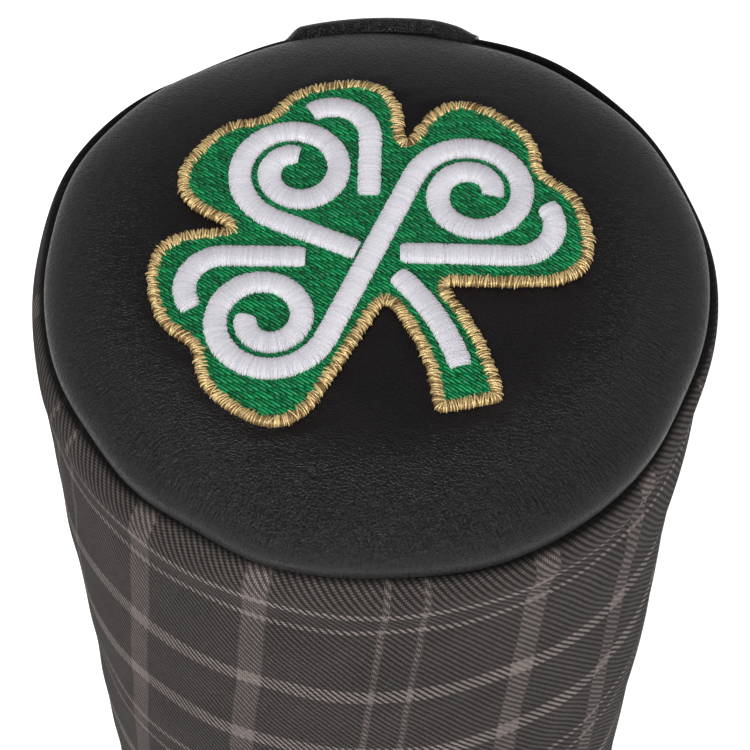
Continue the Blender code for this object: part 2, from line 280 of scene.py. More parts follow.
def seam_shift(angle):
    """How far the seam of the crown and the barrel moves outwards round the cover."""
    side = 0.0005 * np.cos(angle) - 0.0006 * towards(angle, 90, 42, 4)
    for out, degrees, spread_over in SEAM_SWELLS:
        side = side + out * towards(angle, degrees, spread_over)
    ripple = 0.00042 * waves(angle, 8, (5, 8, 11, 15), 0.6)
    return side + ripple * (1 - 0.5 * towards(angle, 90, 40))


def crown_pull(angle):
    """How far the crown's edge is drawn in from the seam (outwards, up)."""
    back = towards(angle, 92, 52, 3)
    return -0.0019 * back, -0.0029 * back


def barrel_shift(angle, z):
    """Soft dents and swells of the padded barrel, outwards."""
    down = SEAM_Z - z
    body = smooth_step(0.014, 0.035, down)
    shoulder = smooth_step(0.036, 0.014, down)
    shift = np.cos(angle) * (0.0006 * shoulder - 0.0003 * (1 - shoulder))
    shift = shift - 0.0005 * towards(angle, 90, 42, 4) * smooth_step(0.07, 0.02, down)
    shift += (0.0018 * towards(angle, 53, 27) + 0.0024 * towards(angle, 148, 25)) * shoulder
    shift -= (0.0015 * towards(angle, -25, 19) + 0.0013 * towards(angle, 118, 15)) * shoulder
    shift += 0.0003 * waves(angle + 3 * down, 21, (2, 3, 5)) * body
    shift += 0.00025 * waves(angle - 8 * down, 22, (4, 6, 9)) * body
    shift += 0.00015 * waves(angle + 14 * down, 23, (11, 15, 19)) * smooth_step(0.004, 0.02, down)
    shift -= 0.0005 * towards(angle, 190, 28) * near(down, 0.040, 0.018)
    shift += 0.0008 * towards(angle, -12, 26) * near(down, 0.034, 0.018)
    shift += towards(angle, -4, 40) * 0.0008 * near(down, 0.108, 0.028)
    return shift * smooth_step(0.0, 0.030, z)


def settled(points):
    """The stuffed top leans back a little: it sinks towards the rear panel."""
    points = np.array(points, float)
    share = np.clip((points[..., 1] + SHOULDER_RADIUS) / (2 * SHOULDER_RADIUS), 0, 1)
    top = smooth_step(0.060, 0.012, SEAM_Z - points[..., 2])
    points[..., 2] -= BACK_DROP * share * top
    return points


def crown_moved(points, hold=0.0):
    """The crown and what is sewn to it, once its edge is drawn in and the top has settled.

    Where hold is 1, as at the tucked-in edge, the leather stays at the seam.
    """
    points = np.array(points, float)
    radius = np.linalg.norm(points[..., :2], axis=-1)
    angle = np.arctan2(points[..., 1], points[..., 0])
    rim = smooth_step(0.036, 0.0612, radius)
    pull, sink = crown_pull(angle)
    outwards = rim * (seam_shift(angle) + pull * (1 - hold))
    points[..., :2] *= (1 + outwards / np.maximum(radius, 1e-6))[..., None]
    points[..., 2] += rim * (seam_lift(angle) + sink * (1 - hold))
    return settled(points)


# The clover's plan, repeated from the CAD source


def polar(radius, angle):
    return np.array((radius * math.cos(angle), radius * math.sin(angle)))


def leaf_radius(angle):
    dip = 1 - 0.09 * math.exp(-((math.degrees(angle) / 7) ** 2))
    side = 1 - 0.36 * (abs(angle) / LEAF_HALF_ANGLE) ** 8
    return LEAF_LENGTH * dip * side


STEM_LENGTH = 0.038


def stem_point(along, side=0.0):
    """A point this far along the curved stem, and this far to its left."""
    first, turn, count = radians(-37), radians(-48), 20
    at = np.zeros(2)
    for i in range(count):
        at = at + polar(along / count, first + turn * (along * (i + 0.5) / count) / STEM_LENGTH)
    return at + polar(side, first + turn * along / STEM_LENGTH + pi / 2)


def stem_half(along):
    """Half the stem's width, which grows towards its end."""
    return 0.0048 + 0.0016 * along / STEM_LENGTH


def clover_outline():
    points, leaf_points = [], 24
    for leaf in range(3):
        direction = TILT + LEAF_TURN + leaf * pi / 2
        for i in range(leaf_points + 1):
            angle = LEAF_HALF_ANGLE * (2 * i / leaf_points - 1)
            points.append(polar(leaf_radius(angle), direction + angle))
    right = [stem_point(s, stem_half(s)) for s in (0.013, 0.019, 0.025, 0.031, 0.0365)]
    left = [stem_point(s, -stem_half(s)) for s in (0.009, 0.014, 0.020, 0.026, 0.032, 0.038)]
    return np.array(points + left + right[::-1])


def run_along(path):
    """The distance along a path to each of its points."""
    return np.concatenate([[0], np.cumsum(np.linalg.norm(np.diff(path, axis=0), axis=1))])


def resampled(points, spacing, closed=True):
    if closed:
        points = np.vstack([points, points[:1]])
    along = run_along(points)
    count = max(8, round(along[-1] / spacing))
    at = np.linspace(0, along[-1], count, endpoint=not closed)
    return np.column_stack([np.interp(at, along, points[:, k]) for k in range(points.shape[1])])


def eased(points, rounds):
    for _ in range(rounds):
        points = 0.5 * points + 0.25 * (np.roll(points, 1, axis=0) + np.roll(points, -1, axis=0))
    return points


def eased_open(points, rounds):
    for _ in range(rounds):
        middle = 0.5 * points[1:-1] + 0.25 * (points[:-2] + points[2:])
        points = np.vstack([points[:1], middle, points[-1:]])
    return points


def scroll_path(start):
    """A straight run outwards, and then a scroll."""
    centre, turns = np.array((0.0230, 0.0026)), 1.45
    outer, inner = 0.0115, 0.0036
    reach = np.linalg.norm(centre)
    tangent = math.atan2(centre[1], centre[0]) + math.asin(outer / reach)
    touch = math.sqrt(reach**2 - outer**2)
    points = [polar(start + (touch - start) * i / 6, tangent) for i in range(6)]
    first = tangent + pi / 2
    count = 52
    for i in range(count + 1):
        angle = first - 2 * pi * turns * i / count
        points.append(centre + polar(outer + (inner - outer) * i / count, angle))
    return np.array(points)


def hook_path(start):
    """A straight run outwards that ends in part of a circle."""
    heading = radians(-31)
    first = np.array((0.005, -0.0022))
    straight, bend = 0.021, 0.0070
    points = [first + polar(start + (straight - start) * i / 5, heading) for i in range(5)]
    centre = first + polar(straight, heading) + polar(bend, heading + pi / 2)
    for i in range(25):
        points.append(centre + polar(bend, heading - pi / 2 + radians(128) * i / 24))
    return np.array(points)


def turned_by(points, angle):
    cos, sin = math.cos(angle), math.sin(angle)
    return points @ np.array(((cos, sin), (-sin, cos)))


def side_of(path, closed=False):
    """Unit vectors to the left of a path in the plane."""
    if closed:
        tangent = np.roll(path, -1, axis=0) - np.roll(path, 1, axis=0)
    else:
        tangent = np.gradient(path, axis=0)
    tangent = unit(tangent)
    return np.column_stack([-tangent[:, 1], tangent[:, 0]])


def on_crown(plan, height):
    """Points of the clover's plan, lifted this far above the leather."""
    at = plan + MIDDLE
    radius = np.linalg.norm(at, axis=-1)
    z = SEAM_Z + dome_height(radius) + height
    return crown_moved(np.concatenate([at, z[..., None]], axis=-1))


OUTLINE = eased(resampled(clover_outline(), 0.001), 2)


# Materials


def new_look(name, **sockets):
    """A material and its tree and shader, with values set straight on the shader's sockets."""
    look = bpy.data.materials.new(name)
    look.use_nodes = True
    shader = look.node_tree.nodes["Principled BSDF"]
    for socket, value in sockets.items():
        shader.inputs[socket.replace("_", " ")].default_value = value
    return look, look.node_tree, shader


def add(tree, kind, inputs=None, **settings):
    """A node with its settings and inputs. An input that is another node's output is linked."""
    node = tree.nodes.new("ShaderNode" + kind)
    for name, value in settings.items():
        setattr(node, name, value)
    for name, value in (inputs or {}).items():
        if isinstance(value, bpy.types.NodeSocket):
            tree.links.new(value, node.inputs[name])
        else:
            node.inputs[name].default_value = value
    return node


def maths(tree, operation, *values):
    return add(tree, "Math", dict(enumerate(values)), operation=operation).outputs[0]


def times(tree, first, second):
    return maths(tree, "MULTIPLY", first, second)


def plus(tree, first, second):
    return maths(tree, "ADD", first, second)


def vectors(tree, operation, *values):
    return add(tree, "VectorMath", dict(enumerate(values)), operation=operation).outputs


def scaled(tree, vector, factor):
    return add(tree, "VectorMath", {0: vector, "Scale": factor}, operation="SCALE").outputs[0]


def object_place(tree):
    return add(tree, "TexCoord").outputs["Object"]


def noise(tree, vector, scale, detail=2.0, roughness=0.5):
    inputs = {"Vector": vector, "Scale": scale, "Detail": detail, "Roughness": roughness}
    return add(tree, "TexNoise", inputs).outputs["Fac"]


def ramp(tree, value, stops):
    """A colour ramp from (position, colour) stops."""
    node = add(tree, "ValToRGB", {"Fac": value})
    elements = node.color_ramp.elements
    while len(elements) < len(stops):
        elements.new(0.5)
    for element, (position, colour) in zip(elements, stops):
        element.position = position
        element.color = (*colour, 1)
    return node.outputs["Color"]


def spread(tree, value, low, high, to_low=0.0, to_high=1.0):
    """A value's range stretched onto another, without going past its ends."""
    inputs = {0: value, 1: low, 2: high, 3: to_low, 4: to_high}
    return add(tree, "MapRange", inputs).outputs[0]


def bump(tree, shader, height, distance, strength=1.0, under=None):
    inputs = {"Height": height, "Distance": distance, "Strength": strength}
    if under is not None:
        inputs["Normal"] = under
    normal = add(tree, "Bump", inputs).outputs["Normal"]
    tree.links.new(normal, shader.inputs["Normal"])
    return normal


def mixed(tree, factor, first, second, blend="MIX"):
    node = add(tree, "Mix", data_type="RGBA", blend_type=blend)
    for index, value in ((0, factor), (6, first), (7, second)):
        if isinstance(value, bpy.types.NodeSocket):
            tree.links.new(value, node.inputs[index])
        else:
            node.inputs[index].default_value = (*value, 1) if index else value
    return node.outputs[2]


def leather_look(name, rim=False):
    """Black leather, its grain flatter in the crown's stretched middle. With rim, it has creases."""
    look, tree, shader = new_look(name, Specular_IOR_Level=0.45)
    place = object_place(tree)
    patches = noise(tree, place, 60, 3)
    dark, light = (0.0026, 0.0018, 0.0025), (0.0048, 0.0034, 0.0046)
    colour = ramp(tree, patches, [(0.3, dark), (0.75, light)])
    tree.links.new(colour, shader.inputs["Base Color"])
    pushed = add(tree, "TexNoise", {"Vector": place, "Scale": 700.0, "Detail": 1.0})
    shaken = scaled(tree, pushed.outputs["Color"], 0.0009)
    bent = vectors(tree, "ADD", place, shaken)[0]
    pebbles = add(tree, "TexVoronoi", {"Vector": bent, "Scale": 1450.0},
                  feature="DISTANCE_TO_EDGE")
    hollow = spread(tree, pebbles.outputs["Distance"], 0.0, 0.22)
    grain = plus(tree, times(tree, hollow, 0.4), noise(tree, place, 1900, 3, 0.65))
    flat = vectors(tree, "MULTIPLY", place, (1, 1, 0))[0]
    reach = vectors(tree, "LENGTH", flat)["Value"]
    rough = plus(tree, spread(tree, patches, 0.3, 0.7, 0.0, 0.06),
                 spread(tree, grain, 0.5, 1.0, 0.47, 0.34))
    rough = times(tree, rough, spread(tree, reach, 0.045, 0.056, 1.0, 0.76))
    tree.links.new(rough, shader.inputs["Roughness"])
    raised = times(tree, grain, spread(tree, reach, 0.036, 0.058, 0.16, 1.0))
    normal = bump(tree, shader, raised, 0.00034, 1.0)
    normal = bump(tree, shader, noise(tree, place, 170, 2), 0.0003, 0.35, normal)
    if rim:
        around = vectors(tree, "NORMALIZE", flat)[0]
        depth = add(tree, "CombineXYZ", {"Z": times(tree, reach, 620.0)}).outputs[0]
        strip = vectors(tree, "ADD", scaled(tree, around, 120.0), depth)[0]
        creases = noise(tree, strip, 1.0, 3, 0.6)
        height = times(tree, creases, spread(tree, reach, 0.046, 0.061))
        bump(tree, shader, height, 0.0012, 1.0, normal)
    return look


# The plaid over the cloth: its repeat across and down, and (middle, width) of its stripes
PLAID_PERIOD = (0.0766, 0.0870)
WARP_STEP, WEFT_STEP = 0.00035, 0.00052
THICK, THIN = 0.0047, 0.0011
UPRIGHT_STRIPES = [(0.0025, THIN), (0.0096, THIN), (0.0315, THICK), (0.0560, THICK)]
LEVEL_STRIPES = [(0.0124, 0.0021), (0.0204, 0.0018), (0.0484, 0.0055), (0.0764, 0.0055)]
LEAN = math.tan(radians(3.8))  # of the upright stripes
CLOTH_TAPER = 0.7  # how fast the upright stripes draw apart, for each metre down
STRIPE_SHIFT = 0.0014


def stripe_ramp(tree, value, period, stripes):
    """White where value, repeated each period, lies in one of the (middle, width) stripes."""
    part = maths(tree, "FRACT", maths(tree, "DIVIDE", value, period))
    stops, edge = [(0.0, (0, 0, 0))], 0.0001 / period
    for middle, width in sorted(stripes):
        low, high = (middle - width / 2) / period, (middle + width / 2) / period
        stops += [(low - edge, (0, 0, 0)), (low + edge, (1, 1, 1))]
        stops += [(high - edge, (1, 1, 1)), (high + edge, (0, 0, 0))]
    return ramp(tree, part, stops)


def yarn_round(tree, at):
    """1 along the middle of each yarn, falling to 0 between two."""
    across = maths(tree, "SUBTRACT", times(tree, maths(tree, "FRACT", at), 2.0), 1.0)
    return maths(tree, "SUBTRACT", 1.0, maths(tree, "POWER", maths(tree, "ABSOLUTE", across), 2.0))


def plaid_look():
    """Twill with taupe checks: warp yarns show on one set of ribs and weft yarns on the other."""
    look, tree, shader = new_look("plaid_twill", Roughness=0.9, Specular_IOR_Level=0.12)
    cloth = add(tree, "UVMap", uv_map="Cloth").outputs["UV"]
    place = object_place(tree)
    wander = times(tree, maths(tree, "SUBTRACT", noise(tree, place, 45, 2), 0.5), 0.0009)
    split = add(tree, "SeparateXYZ", {0: cloth})
    u, v = plus(tree, split.outputs["X"], wander), plus(tree, split.outputs["Y"], wander)
    warp_at = maths(tree, "DIVIDE", u, WARP_STEP)
    weft_at = maths(tree, "DIVIDE", v, WEFT_STEP)
    step = maths(tree, "SUBTRACT", maths(tree, "FLOOR", warp_at), maths(tree, "FLOOR", weft_at))
    rib = maths(tree, "FRACT", maths(tree, "DIVIDE", step, 4.0))
    warp_up = maths(tree, "LESS_THAN", rib, 0.49)

    across = stripe_ramp(tree, u, PLAID_PERIOD[0], UPRIGHT_STRIPES)
    down = stripe_ramp(tree, v, PLAID_PERIOD[1], LEVEL_STRIPES)
    warp = mixed(tree, across, (0.0205, 0.0177, 0.0166), (0.170, 0.140, 0.131))
    plain = mixed(tree, across, (0.0800, 0.0692, 0.0629), (0.048, 0.041, 0.037))
    weft = mixed(tree, down, plain, (0.252, 0.213, 0.198))
    yarn = mixed(tree, warp_up, weft, warp)
    height = mixed(tree, warp_up, yarn_round(tree, weft_at), yarn_round(tree, warp_at))
    shade = spread(tree, height, 0.0, 1.0, 0.45, 1.0)
    # flecks, broad patches, painted light on the shoulder and painted shadow in the seam's groove
    for value, *ends in ((noise(tree, place, 1100, 2), 0.3, 0.7, 0.8, 1.2),
                         (noise(tree, place, 70, 2), 0.3, 0.7, 0.88, 1.12),
                         (split.outputs["Y"], 0.010, 0.014, 1.2, 1.0),
                         (split.outputs["Y"], 0.0025, 0.0043, 0.06, 1.0)):
        shade = times(tree, shade, spread(tree, value, *ends))
    grey = add(tree, "CombineXYZ", {0: shade, 1: shade, 2: shade}).outputs[0]
    tree.links.new(mixed(tree, 1.0, yarn, grey, "MULTIPLY"), shader.inputs["Base Color"])
    bump(tree, shader, height, 0.00014, 0.8)
    return look


def thread_look(name, dark, light, fine, glint=0.2, **sockets):
    """Thread, from dark to light by its tone attribute and, as far as glint, its fibres."""
    look, tree, shader = new_look(name, **sockets)
    tone = add(tree, "Attribute", attribute_name="tone").outputs["Fac"]
    fibres = noise(tree, object_place(tree), fine, 3, 0.6)
    sparkle = spread(tree, fibres, 0.38, 0.62)
    mix = plus(tree, times(tree, tone, 1 - glint), times(tree, sparkle, glint))
    tree.links.new(ramp(tree, mix, [(0.0, dark), (1.0, light)]), shader.inputs["Base Color"])
    bump(tree, shader, fibres, 0.00005, 0.5)
    return look


def cloth_look(name, dark, light, scale, depth, **sockets):
    """Fleece, foam, felt and tape: two colours and a bump from one fine noise."""
    look, tree, shader = new_look(name, **sockets)
    place = object_place(tree)
    fine = noise(tree, place, scale, 4, 0.65)
    broad = noise(tree, place, scale / 18, 2)
    mix = plus(tree, times(tree, fine, 0.7), times(tree, broad, 0.3))
    tree.links.new(ramp(tree, mix, [(0.3, dark), (0.7, light)]), shader.inputs["Base Color"])
    bump(tree, shader, fine, depth, 0.9)
    return look


# Crown


CROWN_STEPS = 384


def crown_profile_points():
    """(radius, height above the seam plane) from the crown's middle to its tucked-in edge."""
    flat_share = 0.78  # of the radius, covered by evenly spaced rings
    flat = np.linspace(0, flat_share, 60)[:-1]
    turn = np.linspace(math.asin(flat_share ** (DOME_POWER / 2)), pi / 2, 42)
    radius = CROWN_RADIUS * np.concatenate([flat, np.sin(turn) ** (2 / DOME_POWER)])
    face = [(r, float(dome_height(r))) for r in radius]
    for angle in np.radians(np.linspace(-2, -20, 7)):
        face.append((CROWN_RADIUS - CROWN_ROLL + CROWN_ROLL * math.cos(angle),
                     CROWN_WIDEST + CROWN_ROLL * math.sin(angle)))
    face += [(0.06125, -0.00515), (0.0609, -0.00512), (0.0602, -0.00508), (0.0588, -0.0052)]
    return np.array(face)


def distance_to_outline(plan, outline):
    """Distance from each point of the plan to the outline's nearest corner."""
    best = np.full(len(plan), 1.0)
    for corner in outline:
        best = np.minimum(best, np.linalg.norm(plan - corner, axis=1))
    return best


def crown_cover(look):
    """The crown's leather, puckered a little round the embroidery."""
    profile = crown_profile_points()
    angle = (2 * pi * np.arange(CROWN_STEPS) / CROWN_STEPS + FRONT)[:, None]
    radius, height = profile[:, 0][None], profile[:, 1][None]
    points = round_axis(radius + 0 * angle, angle[:, 0], SEAM_Z + height)
    plan = points[..., :2].reshape(-1, 2) - MIDDLE
    reach = distance_to_outline(plan, resampled(OUTLINE, 0.002)).reshape(points.shape[:2])
    puckers = waves(angle + 40 * radius, 31, (23, 31, 41)) * near(reach, 0.0022, 0.0026)
    upper = (height > 0) & (radius < 0.058)
    points[..., 2] -= upper * (0.00025 * near(reach, 0.0, 0.0016) + 0.00006 * puckers)
    tucked = smooth_step(-0.0046, -0.0051, height) * (radius > 0.05) + 0 * angle
    points = crown_moved(points, tucked)
    cover = grid_object("crown_cover", points, look, wrap=True)
    attach(cover, "crown_leather")


def crown_padding(foam, felt):
    """The foam under the crown, and the stabiliser between it and the embroidery."""
    angle = 2 * pi * np.arange(96) / 96 + FRONT
    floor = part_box("crown_foam")[0].z - SEAM_Z
    face = crown_profile_points()[:100:3]
    keep = face[:, 1] > floor + 0.0026
    radius = np.concatenate([face[keep, 0] * 0.965, [0.0535, 0.0535, 0.04, 0.02, 0.0]])
    height = np.concatenate([face[keep, 1] - 0.0024, [floor + 0.0005, floor, floor, floor, floor]])
    upper = height > floor + 0.0002
    points = round_axis(np.broadcast_to(radius, (len(angle), len(radius))), angle, SEAM_Z + height)
    points = np.where(upper[None, :, None], crown_moved(points), points)
    pad = grid_object("crown_padding", points, foam, wrap=True)
    attach(pad, "crown_foam")
    rings = np.linspace(0, STABILISER_RADIUS, 16)
    plan = np.stack([np.outer(np.cos(angle), rings), np.outer(np.sin(angle), rings)], -1) - MIDDLE
    disc = grid_object("stabiliser_disc", on_crown(plan, -LEATHER - 0.0003), felt, wrap=True)
    attach(disc, "embroidery_stabiliser")


# Barrel


def barrel_levels():
    """Heights down the cover's side, with the shoulder's quarter-round first."""
    roll, widest = SHOULDER_DROP - SHOULDER_TOP, SEAM_Z - SHOULDER_DROP
    shoulder = widest + roll * np.cos(np.radians(np.linspace(2, 90, 22)))
    return np.concatenate([shoulder, np.linspace(widest, 0.0015, 190)[1:]])


def skin_points(angle):
    """Points of a side panel from inside the seam down to the hem, and the run down it."""
    z = barrel_levels()
    r = np.concatenate([[0.0588, 0.0598, 0.0604], barrel_radius(z)])
    z = np.concatenate([SEAM_Z - np.array([0.0060, 0.0055, 0.0053]), z])
    down = SEAM_Z - z[None]
    at_seam = smooth_step(0.016, 0.006, down)
    radius = r[None] + barrel_shift(angle[:, None], z[None]) + at_seam * seam_shift(angle)[:, None]
    height = z[None] + at_seam * seam_lift(angle)[:, None]
    return settled(round_axis(radius, angle, height)), run_along(np.column_stack([r, z]))


def plaid_barrel(look):
    """The plaid, its edges tucked under the rear panel's."""
    tucked = radians(0.6)
    angle = np.linspace(PANEL_LEFT - 2 * pi - tucked, PANEL_RIGHT + tucked, 400)
    points, along = skin_points(angle)
    turn, down = (angle - FRONT)[:, None], along[None]
    u = turn * SKIN_MEAN * (1 - CLOTH_TAPER * down) + LEAN * down - STRIPE_SHIFT
    sag = (0.0025 + 0.0055 * smooth_step(0.015, 0.045, down)) * np.sin(turn) ** 2
    skin = grid_object("plaid_barrel", points, look, np.stack([u, down - sag], -1))
    attach(skin, "barrel_plaid")


def panel_proud(angle, down):
    """How far the rear panel's face stands out, and a share from 0 at its edges to 1."""
    from_right, from_left = angle - PANEL_RIGHT, PANEL_LEFT - angle
    swell = 0.0007 * smooth_step(0, radians(4), np.minimum(from_right, from_left))
    rounded = smooth_step(radians(-2), radians(9), from_right)
    rounded = rounded * smooth_step(0, radians(4), from_left)
    lift = PANEL_LIFT * rounded * smooth_step(0.045, 0.008, down)
    return PANEL_PROUD + 0.0002 + swell + lift, rounded


def rear_leather(look):
    """The leather strip down the back, proud of the plaid and cut square at its edges."""
    angle = np.linspace(PANEL_RIGHT, PANEL_LEFT, 64)
    outer, along = skin_points(angle)
    proud, rounded = panel_proud(angle[:, None], SEAM_Z - outer[..., 2])
    out = spoke(angle)[:, None]
    outer = outer + out * proud[..., None]
    outer[..., 2] += PANEL_LIFT * rounded * smooth_step(0.014, 0.006, SEAM_Z - outer[..., 2])
    inner = outer - out * 0.0013
    strip = grid_object("rear_leather", np.concatenate([inner[:1], outer, inner[-1:]]), look)
    attach(strip, "rear_panel")


def barrel_padding(look):
    """The foam behind the side panels, its outer face following them."""
    z = np.linspace(SEAM_Z - 0.0082, 0.0018, 90)
    angle = 2 * pi * np.arange(120) / 120 + FRONT
    seam = smooth_step(0.018, 0.006, SEAM_Z - z)[None] * np.minimum(seam_shift(angle), 0)[:, None]
    shift = barrel_shift(angle[:, None], z[None]) + seam
    outer = barrel_radius(z)[None] + np.minimum(shift, 0.0008) - 0.0016
    inner = np.broadcast_to(barrel_radius(z)[None] - CLOTH - FOAM - 2 * GAP, outer.shape)
    outer = np.maximum(outer, inner + 0.0006)
    r = np.concatenate([outer, inner[:, ::-1], outer[:, :1]], axis=1)
    height = np.concatenate([z, z[::-1], z[:1]])
    pad = grid_object("barrel_padding", settled(round_axis(r, angle, height)), look, wrap=True)
    attach(pad, "barrel_foam")


def fleece_lining(look):
    """The lining, drawn into folds by the elastic at the neck."""
    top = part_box("barrel_lining")[1].z
    z = np.concatenate([np.linspace(top, 0.125, 50), np.linspace(0.125, 0.045, 90)[1:],
                        np.linspace(0.045, 0.0015, 30)[1:]])
    angle = 2 * pi * np.arange(360) / 360 + FRONT
    gather = np.exp(-(((z - NECK_Z) / 0.030) ** 2))[None]
    phase = 0.35 * waves(angle, 41, (2, 3, 5))[:, None]
    folds = np.sin(46 * angle[:, None] + 6 * phase + 0.6 * np.sin((z[None] - NECK_Z) * 90))
    folds = np.sign(folds) * np.abs(folds) ** 0.8
    pillow = 0.0005 * waves(angle[:, None] + 20 * z[None], 42, (3, 5, 8, 13)) * (z[None] > 0.02)
    r = lining_radius(z)[None] - 0.0002 + gather * 0.0011 * folds + pillow * (1 - gather)
    lining = grid_object("fleece_lining", round_axis(r, angle, z), look, wrap=True, flip=True)
    attach(lining, "barrel_lining")


# Hem


def hem_wave(angle):
    """How far the hem's outer face, and its stitches with it, swells."""
    return 0.00022 * waves(angle, 51, (5, 8, 13, 21))


def hem_binding(look):
    """A leather strip folded over the bottom edge, dipping a little along its stitches."""
    top = HEM_HEIGHT
    outside = PANEL_PROUD + GAP
    lip, foot = barrel_radius(top) + outside, barrel_radius(0) + outside
    inner = lining_radius(0) - GAP
    inner_top = lining_radius(top) - GAP
    t, fold, steps = HEM_THICKNESS, 0.0012, np.arange(1, 9) / 8
    loop = [(lip, top - 0.0002), (lip + 0.0004, top)]
    loop += [(lip + t - 0.0003, top), (lip + t, top - 0.0004)]
    loop += [(lip + t + (foot - lip) * k, top - 0.0004 - (top - 0.0016) * k) for k in steps]
    for centre, turns in ((foot + t - fold, np.linspace(0, 90, 6)[1:]),
                          (inner - t + fold, np.linspace(90, 180, 6))):
        loop += [(centre + fold * math.cos(a), fold - fold * math.sin(a)) for a in np.radians(turns)]
    loop += [(inner - t + (inner_top - inner) * k, fold + (top - 0.0016) * k) for k in steps]
    loop += [(inner_top - t + 0.0003, top), (inner_top - 0.0002, top), (inner_top, top - 0.0003)]
    loop += [(inner, t), (foot, t), (lip, top - 0.0002)]
    loop = np.array(loop, float)
    angle = 2 * pi * np.arange(480) / 480 + FRONT
    outer = (loop[:, 0] > foot + 0.0005)[None]
    dip = near(loop[:, 1], HEM_HEIGHT - 0.002, 0.0016)[None] * outer
    r = loop[:, 0][None] - 0.00016 * dip * (0.6 + 0.4 * np.sin(96 * angle)[:, None])
    r = r + outer * hem_wave(angle)[:, None]
    hem = grid_object("hem_cover", round_axis(r, angle, loop[:, 1]), look, wrap=True)
    attach(hem, "hem_binding")


def stitch_row(name, path, out, length, gap, radius, look, stands_for):
    """Single stitches along a path: each dips into the leather at both ends."""
    path_along = run_along(path)
    count = int(path_along[-1] / (length + gap))
    pitch = path_along[-1] / count
    share = np.linspace(0, 1, 7)
    lift = radius * np.array((-1.2, 0.2, 0.75, 0.9, 0.75, 0.2, -1.2))
    at = np.arange(count)[:, None] * pitch + (gap / 2 + share * (pitch - gap))[None]
    place = np.stack([np.interp(at, path_along, path[:, k]) for k in range(3)], -1)
    away = unit(np.stack([np.interp(at, path_along, out[:, k]) for k in range(3)], -1))
    chance = np.random.default_rng(61)
    paths = place + away * lift[None, :, None]
    points, faces = tube_arrays(paths, away, radius, radius * 0.8, 8, 0.7)
    tone = np.repeat(chance.uniform(0.2, 0.9, count), 7 * 8)
    row = mesh_object(name, points, faces, look, tone=tone)
    attach(row, stands_for)


def seam_stitches(look):
    """The rows along the rear panel's edges and round the hem."""
    inset = STITCH_INSET / SHOULDER_RADIUS
    z = np.linspace(SEAM_Z - SHOULDER_TOP - 0.006, HEM_HEIGHT + 0.002, 240)
    down = SEAM_Z - z
    for side, at in (("left", PANEL_LEFT - inset), ("right", PANEL_RIGHT + inset)):
        turn = np.full_like(z, at)
        r = barrel_radius(z) + barrel_shift(turn, z) + panel_proud(turn, down)[0] + 0.0001
        r = r + smooth_step(0.016, 0.006, down) * seam_shift(turn)
        out = spoke(turn)
        path = settled(out * r[:, None] + UP * z[:, None])
        stitch_row("rear_stitches_" + side, path, out, 0.0030, 0.0007, 0.0003, look,
                   "rear_stitch_" + side)
    angle = np.linspace(0, 2 * pi, 481)
    z = HEM_HEIGHT - 0.002
    r = barrel_radius(z) + PANEL_PROUD + GAP + HEM_THICKNESS - 0.0001 + hem_wave(angle)
    out = spoke(angle)
    path = out * r[:, None] + UP * z
    stitch_row("hem_stitches", path, out, 0.0032, 0.0008, 0.0003, look, "hem_stitch")


def care_label(look):
    """A blank satin label, folded in two and sewn in behind the hem."""
    low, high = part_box("care_label")
    width, middle = high.x - low.x, (low.y + high.y) / 2
    s = np.linspace(0, 1, 81)
    fold = 0.00035
    length = high.z - low.z - fold
    run = s * (2 * length + pi * fold)
    z = np.where(run < length, high.z - run, np.where(run > length + pi * fold,
                 low.z + fold + run - length - pi * fold, 0))
    turn = np.clip((run - length) / (pi * fold), 0, 1) * pi
    bent = (run >= length) & (run <= length + pi * fold)
    z = np.where(bent, low.z + fold - fold * np.sin(turn), z)
    y = middle - fold * np.cos(turn)
    across = np.linspace(-width / 2, width / 2, 21)
    sway = 0.0006 * np.sin(5 * (z - low.z) / length)[None] * np.cos(across / width * 2)[:, None]
    points = np.stack([across[:, None] + 0 * sway, y + sway, z + 0 * sway], -1)
    label = grid_object("satin_label", points, look)
    solid = label.modifiers.new("Thickness", "SOLIDIFY")
    solid.thickness = 0.00018
    attach(label, "care_label")


# Embroidery


def scan_spans(outline, direction, spacing):
    """(offset, start, end) of each span of evenly spaced parallel lines inside an outline."""
    along = polar(1.0, direction)
    aside = np.array((-along[1], along[0]))
    a, b = outline, np.roll(outline, -1, axis=0)
    a_side, b_side = a @ aside, b @ aside
    a_along, b_along = a @ along, b @ along
    spans = []
    for offset in np.arange(a_side.min() + spacing / 2, a_side.max(), spacing):
        hit = (a_side > offset) != (b_side > offset)
        t = (offset - a_side[hit]) / (b_side[hit] - a_side[hit])
        cuts = np.sort(a_along[hit] + t * (b_along[hit] - a_along[hit]))
        spans += [(offset, cuts[i], cuts[i + 1]) for i in range(0, len(cuts) - 1, 2)]
    return spans, along, aside


